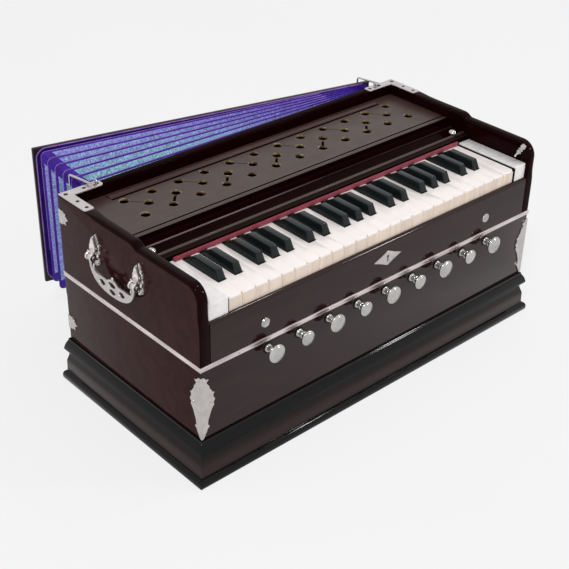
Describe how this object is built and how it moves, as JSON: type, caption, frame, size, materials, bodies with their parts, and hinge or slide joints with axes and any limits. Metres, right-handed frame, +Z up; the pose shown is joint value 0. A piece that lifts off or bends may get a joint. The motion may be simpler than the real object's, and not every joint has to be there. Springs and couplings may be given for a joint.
{
  "type": "indian harmonium",
  "caption": "Portable reed organ in a glossy wooden case, with piano-style keys, turned metal stops, a folding rear bellows, side handles and a pierced top that lifts.",
  "frame": {"origin": "on the floor, at the centre of the plinth's underside under the middle of the case", "axes": "+X along the keys to the treble end, +Y to the rear, where the bellows is, +Z up"},
  "size_m": [0.631, 0.4537, 0.2875],
  "materials": {
    "case_wood": "gloss",
    "plinth_wood": "gloss",
    "top_wood": "satin",
    "natural_cover": "gloss",
    "sharp_cover": "gloss",
    "bright_metal": "polished",
    "board_wood": "satin",
    "bellows_cloth": "matt"
  },
  "bodies": {
    "case": {"case": "case_wood", "plinth": "plinth_wood", "bellows_pleats": "bellows_cloth"},
    "bellows": {"bellows_board": "board_wood"},
    "lid": {"top": "top_wood"},
    "left_bail": {"bail_left": "bright_metal"},
    "right_bail": {"bail_right": "bright_metal"},
    "left_hook": {"hook_left": "bright_metal"},
    "right_hook": {"hook_right": "bright_metal"},
    "stop_1": {"stop_1": "bright_metal"},
    "stop_2": {"stop_2": "bright_metal"},
    "stop_3": {"stop_3": "bright_metal"},
    "stop_4": {"stop_4": "bright_metal"},
    "stop_5": {"stop_5": "bright_metal"},
    "stop_6": {"stop_6": "bright_metal"},
    "stop_7": {"stop_7": "bright_metal"},
    "stop_8": {"stop_8": "bright_metal"},
    "stop_9": {"stop_9": "bright_metal"},
    "key_c3": {"key_c3": "natural_cover"},
    "key_csharp3": {"key_csharp3": "sharp_cover"},
    "key_d3": {"key_d3": "natural_cover"},
    "key_dsharp3": {"key_dsharp3": "sharp_cover"},
    "key_e3": {"key_e3": "natural_cover"},
    "key_f3": {"key_f3": "natural_cover"},
    "key_fsharp3": {"key_fsharp3": "sharp_cover"},
    "key_g3": {"key_g3": "natural_cover"},
    "key_gsharp3": {"key_gsharp3": "sharp_cover"},
    "key_a3": {"key_a3": "natural_cover"},
    "key_asharp3": {"key_asharp3": "sharp_cover"},
    "key_b3": {"key_b3": "natural_cover"},
    "key_c4": {"key_c4": "natural_cover"},
    "key_csharp4": {"key_csharp4": "sharp_cover"},
    "key_d4": {"key_d4": "natural_cover"},
    "key_dsharp4": {"key_dsharp4": "sharp_cover"},
    "key_e4": {"key_e4": "natural_cover"},
    "key_f4": {"key_f4": "natural_cover"},
    "key_fsharp4": {"key_fsharp4": "sharp_cover"},
    "key_g4": {"key_g4": "natural_cover"},
    "key_gsharp4": {"key_gsharp4": "sharp_cover"},
    "key_a4": {"key_a4": "natural_cover"},
    "key_asharp4": {"key_asharp4": "sharp_cover"},
    "key_b4": {"key_b4": "natural_cover"},
    "key_c5": {"key_c5": "natural_cover"},
    "key_csharp5": {"key_csharp5": "sharp_cover"},
    "key_d5": {"key_d5": "natural_cover"},
    "key_dsharp5": {"key_dsharp5": "sharp_cover"},
    "key_e5": {"key_e5": "natural_cover"},
    "key_f5": {"key_f5": "natural_cover"},
    "key_fsharp5": {"key_fsharp5": "sharp_cover"},
    "key_g5": {"key_g5": "natural_cover"},
    "key_gsharp5": {"key_gsharp5": "sharp_cover"},
    "key_a5": {"key_a5": "natural_cover"},
    "key_asharp5": {"key_asharp5": "sharp_cover"},
    "key_b5": {"key_b5": "natural_cover"},
    "key_c6": {"key_c6": "natural_cover"},
    "key_csharp6": {"key_csharp6": "sharp_cover"},
    "key_d6": {"key_d6": "natural_cover"},
    "key_dsharp6": {"key_dsharp6": "sharp_cover"},
    "key_e6": {"key_e6": "natural_cover"},
    "key_f6": {"key_f6": "natural_cover"}
  },
  "joints": [
    {"name": "bellows_swing", "type": "hinge", "parent": "case", "child": "bellows", "pos_m": [0.268, 0.1673, 0.17], "axis": [0, 0, -1], "range_deg": [-10.4, 5], "deforming": ["bellows_pleats"]},
    {"name": "lid_lift", "type": "hinge", "parent": "case", "child": "lid", "pos_m": [0, 0.1274, 0.265], "axis": [-1, 0, 0], "range_deg": [0, 75]},
    {"name": "left_bail_swing", "type": "hinge", "parent": "case", "child": "left_bail", "pos_m": [-0.31, 0.0135, 0.232], "axis": [0, 1, 0], "range_deg": [-7, 90]},
    {"name": "right_bail_swing", "type": "hinge", "parent": "case", "child": "right_bail", "pos_m": [0.31, 0.0135, 0.232], "axis": [0, -1, 0], "range_deg": [-7, 90]},
    {"name": "left_hook_lift", "type": "hinge", "parent": "case", "child": "left_hook", "pos_m": [-0.256, 0.1345, 0.2836], "axis": [1, 0, 0], "range_deg": [0, 110]},
    {"name": "right_hook_lift", "type": "hinge", "parent": "case", "child": "right_hook", "pos_m": [0.267, 0.1345, 0.2836], "axis": [1, 0, 0], "range_deg": [0, 110]},
    {"name": "stop_1_pull", "type": "slide", "parent": "case", "child": "stop_1", "axis": [0, -1, 0], "range_m": [0, 0.018]},
    {"name": "stop_2_pull", "type": "slide", "parent": "case", "child": "stop_2", "axis": [0, -1, 0], "range_m": [0, 0.018]},
    {"name": "stop_3_pull", "type": "slide", "parent": "case", "child": "stop_3", "axis": [0, -1, 0], "range_m": [0, 0.018]},
    {"name": "stop_4_pull", "type": "slide", "parent": "case", "child": "stop_4", "axis": [0, -1, 0], "range_m": [0, 0.018]},
    {"name": "stop_5_pull", "type": "slide", "parent": "case", "child": "stop_5", "axis": [0, -1, 0], "range_m": [0, 0.018]},
    {"name": "stop_6_pull", "type": "slide", "parent": "case", "child": "stop_6", "axis": [0, -1, 0], "range_m": [0, 0.018]},
    {"name": "stop_7_pull", "type": "slide", "parent": "case", "child": "stop_7", "axis": [0, -1, 0], "range_m": [0, 0.018]},
    {"name": "stop_8_pull", "type": "slide", "parent": "case", "child": "stop_8", "axis": [0, -1, 0], "range_m": [0, 0.018]},
    {"name": "stop_9_pull", "type": "slide", "parent": "case", "child": "stop_9", "axis": [0, -1, 0], "range_m": [0, 0.018]},
    {"name": "press_c3", "type": "hinge", "parent": "case", "child": "key_c3", "pos_m": [-0.24225, -0.0182, 0.223], "axis": [1, 0, 0], "range_deg": [0, 3.9], "stiffness_Nm_per_rad": 0.6, "springref_deg": -7.45},
    {"name": "press_csharp3", "type": "hinge", "parent": "case", "child": "key_csharp3", "pos_m": [-0.2344, -0.0182, 0.223], "axis": [1, 0, 0], "range_deg": [0, 3.9], "stiffness_Nm_per_rad": 0.6, "springref_deg": -7.45},
    {"name": "press_d3", "type": "hinge", "parent": "case", "child": "key_d3", "pos_m": [-0.22175, -0.0182, 0.223], "axis": [1, 0, 0], "range_deg": [0, 3.9], "stiffness_Nm_per_rad": 0.6, "springref_deg": -7.45},
    {"name": "press_dsharp3", "type": "hinge", "parent": "case", "child": "key_dsharp3", "pos_m": [-0.2091, -0.0182, 0.223], "axis": [1, 0, 0], "range_deg": [0, 3.9], "stiffness_Nm_per_rad": 0.6, "springref_deg": -7.45},
    {"name": "press_e3", "type": "hinge", "parent": "case", "child": "key_e3", "pos_m": [-0.20125, -0.0182, 0.223], "axis": [1, 0, 0], "range_deg": [0, 3.9], "stiffness_Nm_per_rad": 0.6, "springref_deg": -7.45},
    {"name": "press_f3", "type": "hinge", "parent": "case", "child": "key_f3", "pos_m": [-0.18075, -0.0182, 0.223], "axis": [1, 0, 0], "range_deg": [0, 3.9], "stiffness_Nm_per_rad": 0.6, "springref_deg": -7.45},
    {"name": "press_fsharp3", "type": "hinge", "parent": "case", "child": "key_fsharp3", "pos_m": [-0.17326, -0.0182, 0.223], "axis": [1, 0, 0], "range_deg": [0, 3.9], "stiffness_Nm_per_rad": 0.6, "springref_deg": -7.45},
    {"name": "press_g3", "type": "hinge", "parent": "case", "child": "key_g3", "pos_m": [-0.16025, -0.0182, 0.223], "axis": [1, 0, 0], "range_deg": [0, 3.9], "stiffness_Nm_per_rad": 0.6, "springref_deg": -7.45},
    {"name": "press_gsharp3", "type": "hinge", "parent": "case", "child": "key_gsharp3", "pos_m": [-0.15, -0.0182, 0.223], "axis": [1, 0, 0], "range_deg": [0, 3.9], "stiffness_Nm_per_rad": 0.6, "springref_deg": -7.45},
    {"name": "press_a3", "type": "hinge", "parent": "case", "child": "key_a3", "pos_m": [-0.13975, -0.0182, 0.223], "axis": [1, 0, 0], "range_deg": [0, 3.9], "stiffness_Nm_per_rad": 0.6, "springref_deg": -7.45},
    {"name": "press_asharp3", "type": "hinge", "parent": "case", "child": "key_asharp3", "pos_m": [-0.12674, -0.0182, 0.223], "axis": [1, 0, 0], "range_deg": [0, 3.9], "stiffness_Nm_per_rad": 0.6, "springref_deg": -7.45},
    {"name": "press_b3", "type": "hinge", "parent": "case", "child": "key_b3", "pos_m": [-0.11925, -0.0182, 0.223], "axis": [1, 0, 0], "range_deg": [0, 3.9], "stiffness_Nm_per_rad": 0.6, "springref_deg": -7.45},
    {"name": "press_c4", "type": "hinge", "parent": "case", "child": "key_c4", "pos_m": [-0.09875, -0.0182, 0.223], "axis": [1, 0, 0], "range_deg": [0, 3.9], "stiffness_Nm_per_rad": 0.6, "springref_deg": -7.45},
    {"name": "press_csharp4", "type": "hinge", "parent": "case", "child": "key_csharp4", "pos_m": [-0.0909, -0.0182, 0.223], "axis": [1, 0, 0], "range_deg": [0, 3.9], "stiffness_Nm_per_rad": 0.6, "springref_deg": -7.45},
    {"name": "press_d4", "type": "hinge", "parent": "case", "child": "key_d4", "pos_m": [-0.07825, -0.0182, 0.223], "axis": [1, 0, 0], "range_deg": [0, 3.9], "stiffness_Nm_per_rad": 0.6, "springref_deg": -7.45},
    {"name": "press_dsharp4", "type": "hinge", "parent": "case", "child": "key_dsharp4", "pos_m": [-0.0656, -0.0182, 0.223], "axis": [1, 0, 0], "range_deg": [0, 3.9], "stiffness_Nm_per_rad": 0.6, "springref_deg": -7.45},
    {"name": "press_e4", "type": "hinge", "parent": "case", "child": "key_e4", "pos_m": [-0.05775, -0.0182, 0.223], "axis": [1, 0, 0], "range_deg": [0, 3.9], "stiffness_Nm_per_rad": 0.6, "springref_deg": -7.45},
    {"name": "press_f4", "type": "hinge", "parent": "case", "child": "key_f4", "pos_m": [-0.03725, -0.0182, 0.223], "axis": [1, 0, 0], "range_deg": [0, 3.9], "stiffness_Nm_per_rad": 0.6, "springref_deg": -7.45},
    {"name": "press_fsharp4", "type": "hinge", "parent": "case", "child": "key_fsharp4", "pos_m": [-0.02976, -0.0182, 0.223], "axis": [1, 0, 0], "range_deg": [0, 3.9], "stiffness_Nm_per_rad": 0.6, "springref_deg": -7.45},
    {"name": "press_g4", "type": "hinge", "parent": "case", "child": "key_g4", "pos_m": [-0.01675, -0.0182, 0.223], "axis": [1, 0, 0], "range_deg": [0, 3.9], "stiffness_Nm_per_rad": 0.6, "springref_deg": -7.45},
    {"name": "press_gsharp4", "type": "hinge", "parent": "case", "child": "key_gsharp4", "pos_m": [-0.0065, -0.0182, 0.223], "axis": [1, 0, 0], "range_deg": [0, 3.9], "stiffness_Nm_per_rad": 0.6, "springref_deg": -7.45},
    {"name": "press_a4", "type": "hinge", "parent": "case", "child": "key_a4", "pos_m": [0.00375, -0.0182, 0.223], "axis": [1, 0, 0], "range_deg": [0, 3.9], "stiffness_Nm_per_rad": 0.6, "springref_deg": -7.45},
    {"name": "press_asharp4", "type": "hinge", "parent": "case", "child": "key_asharp4", "pos_m": [0.01676, -0.0182, 0.223], "axis": [1, 0, 0], "range_deg": [0, 3.9], "stiffness_Nm_per_rad": 0.6, "springref_deg": -7.45},
    {"name": "press_b4", "type": "hinge", "parent": "case", "child": "key_b4", "pos_m": [0.02425, -0.0182, 0.223], "axis": [1, 0, 0], "range_deg": [0, 3.9], "stiffness_Nm_per_rad": 0.6, "springref_deg": -7.45},
    {"name": "press_c5", "type": "hinge", "parent": "case", "child": "key_c5", "pos_m": [0.04475, -0.0182, 0.223], "axis": [1, 0, 0], "range_deg": [0, 3.9], "stiffness_Nm_per_rad": 0.6, "springref_deg": -7.45},
    {"name": "press_csharp5", "type": "hinge", "parent": "case", "child": "key_csharp5", "pos_m": [0.0526, -0.0182, 0.223], "axis": [1, 0, 0], "range_deg": [0, 3.9], "stiffness_Nm_per_rad": 0.6, "springref_deg": -7.45},
    {"name": "press_d5", "type": "hinge", "parent": "case", "child": "key_d5", "pos_m": [0.06525, -0.0182, 0.223], "axis": [1, 0, 0], "range_deg": [0, 3.9], "stiffness_Nm_per_rad": 0.6, "springref_deg": -7.45},
    {"name": "press_dsharp5", "type": "hinge", "parent": "case", "child": "key_dsharp5", "pos_m": [0.0779, -0.0182, 0.223], "axis": [1, 0, 0], "range_deg": [0, 3.9], "stiffness_Nm_per_rad": 0.6, "springref_deg": -7.45},
    {"name": "press_e5", "type": "hinge", "parent": "case", "child": "key_e5", "pos_m": [0.08575, -0.0182, 0.223], "axis": [1, 0, 0], "range_deg": [0, 3.9], "stiffness_Nm_per_rad": 0.6, "springref_deg": -7.45},
    {"name": "press_f5", "type": "hinge", "parent": "case", "child": "key_f5", "pos_m": [0.10625, -0.0182, 0.223], "axis": [1, 0, 0], "range_deg": [0, 3.9], "stiffness_Nm_per_rad": 0.6, "springref_deg": -7.45},
    {"name": "press_fsharp5", "type": "hinge", "parent": "case", "child": "key_fsharp5", "pos_m": [0.11374, -0.0182, 0.223], "axis": [1, 0, 0], "range_deg": [0, 3.9], "stiffness_Nm_per_rad": 0.6, "springref_deg": -7.45},
    {"name": "press_g5", "type": "hinge", "parent": "case", "child": "key_g5", "pos_m": [0.12675, -0.0182, 0.223], "axis": [1, 0, 0], "range_deg": [0, 3.9], "stiffness_Nm_per_rad": 0.6, "springref_deg": -7.45},
    {"name": "press_gsharp5", "type": "hinge", "parent": "case", "child": "key_gsharp5", "pos_m": [0.137, -0.0182, 0.223], "axis": [1, 0, 0], "range_deg": [0, 3.9], "stiffness_Nm_per_rad": 0.6, "springref_deg": -7.45},
    {"name": "press_a5", "type": "hinge", "parent": "case", "child": "key_a5", "pos_m": [0.14725, -0.0182, 0.223], "axis": [1, 0, 0], "range_deg": [0, 3.9], "stiffness_Nm_per_rad": 0.6, "springref_deg": -7.45},
    {"name": "press_asharp5", "type": "hinge", "parent": "case", "child": "key_asharp5", "pos_m": [0.16026, -0.0182, 0.223], "axis": [1, 0, 0], "range_deg": [0, 3.9], "stiffness_Nm_per_rad": 0.6, "springref_deg": -7.45},
    {"name": "press_b5", "type": "hinge", "parent": "case", "child": "key_b5", "pos_m": [0.16775, -0.0182, 0.223], "axis": [1, 0, 0], "range_deg": [0, 3.9], "stiffness_Nm_per_rad": 0.6, "springref_deg": -7.45},
    {"name": "press_c6", "type": "hinge", "parent": "case", "child": "key_c6", "pos_m": [0.18825, -0.0182, 0.223], "axis": [1, 0, 0], "range_deg": [0, 3.9], "stiffness_Nm_per_rad": 0.6, "springref_deg": -7.45},
    {"name": "press_csharp6", "type": "hinge", "parent": "case", "child": "key_csharp6", "pos_m": [0.1961, -0.0182, 0.223], "axis": [1, 0, 0], "range_deg": [0, 3.9], "stiffness_Nm_per_rad": 0.6, "springref_deg": -7.45},
    {"name": "press_d6", "type": "hinge", "parent": "case", "child": "key_d6", "pos_m": [0.20875, -0.0182, 0.223], "axis": [1, 0, 0], "range_deg": [0, 3.9], "stiffness_Nm_per_rad": 0.6, "springref_deg": -7.45},
    {"name": "press_dsharp6", "type": "hinge", "parent": "case", "child": "key_dsharp6", "pos_m": [0.2214, -0.0182, 0.223], "axis": [1, 0, 0], "range_deg": [0, 3.9], "stiffness_Nm_per_rad": 0.6, "springref_deg": -7.45},
    {"name": "press_e6", "type": "hinge", "parent": "case", "child": "key_e6", "pos_m": [0.22925, -0.0182, 0.223], "axis": [1, 0, 0], "range_deg": [0, 3.9], "stiffness_Nm_per_rad": 0.6, "springref_deg": -7.45},
    {"name": "press_f6", "type": "hinge", "parent": "case", "child": "key_f6", "pos_m": [0.24975, -0.0182, 0.223], "axis": [1, 0, 0], "range_deg": [0, 3.9], "stiffness_Nm_per_rad": 0.6, "springref_deg": -7.45}
  ]
}
